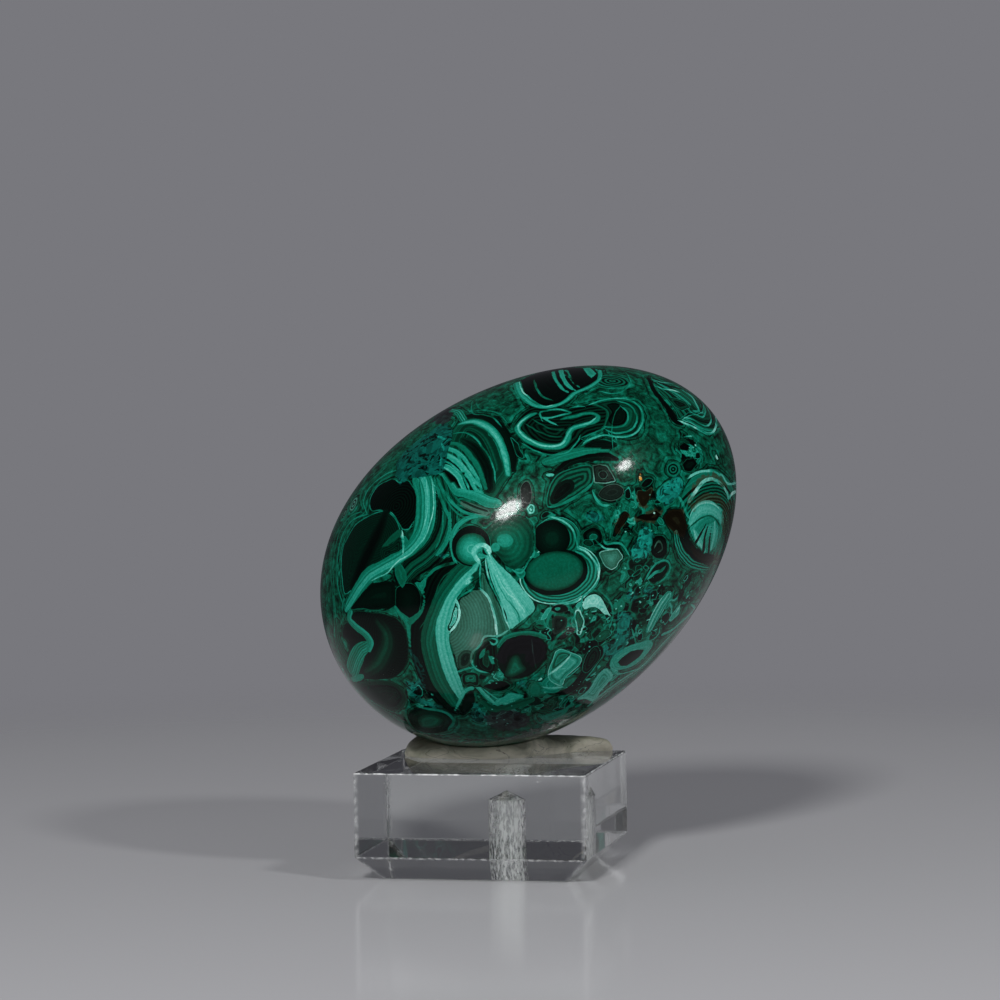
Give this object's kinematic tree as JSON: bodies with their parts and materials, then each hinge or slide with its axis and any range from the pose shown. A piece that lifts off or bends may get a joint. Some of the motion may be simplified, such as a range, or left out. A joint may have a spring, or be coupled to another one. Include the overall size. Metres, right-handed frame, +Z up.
{
  "type": "stone egg on stand",
  "caption": "Polished malachite egg lying tilted in mounting putty on a clear acrylic block, for a desk or shelf.",
  "frame": {"origin": "centre of the acrylic block's underside, on the surface that it stands on", "axes": "+X along the block's 40 mm width, -Y out of its front face, +Z up; the egg's narrow end points to +X and up"},
  "size_m": [0.0716, 0.0585, 0.0859],
  "materials": {
    "clear_acrylic": "polished clear acrylic, machined bevels and a frosted drilled hole",
    "mounting_putty": "matt grey-green putty, hand pressed",
    "polished_malachite": "high polish, banded and brecciated malachite"
  },
  "bodies": {
    "block": {"acrylic_block": "clear_acrylic"},
    "putty": {"tack_putty": "mounting_putty"},
    "egg": {"stone_egg": "polished_malachite"}
  },
  "joints": [
    {"name": "putty_lift", "type": "slide", "parent": "block", "child": "putty", "axis": [0, 0, 1], "range_m": [0, 0.03]},
    {"name": "egg_lift", "type": "slide", "parent": "putty", "child": "egg", "axis": [0, 0, 1], "range_m": [0, 0.06]}
  ]
}
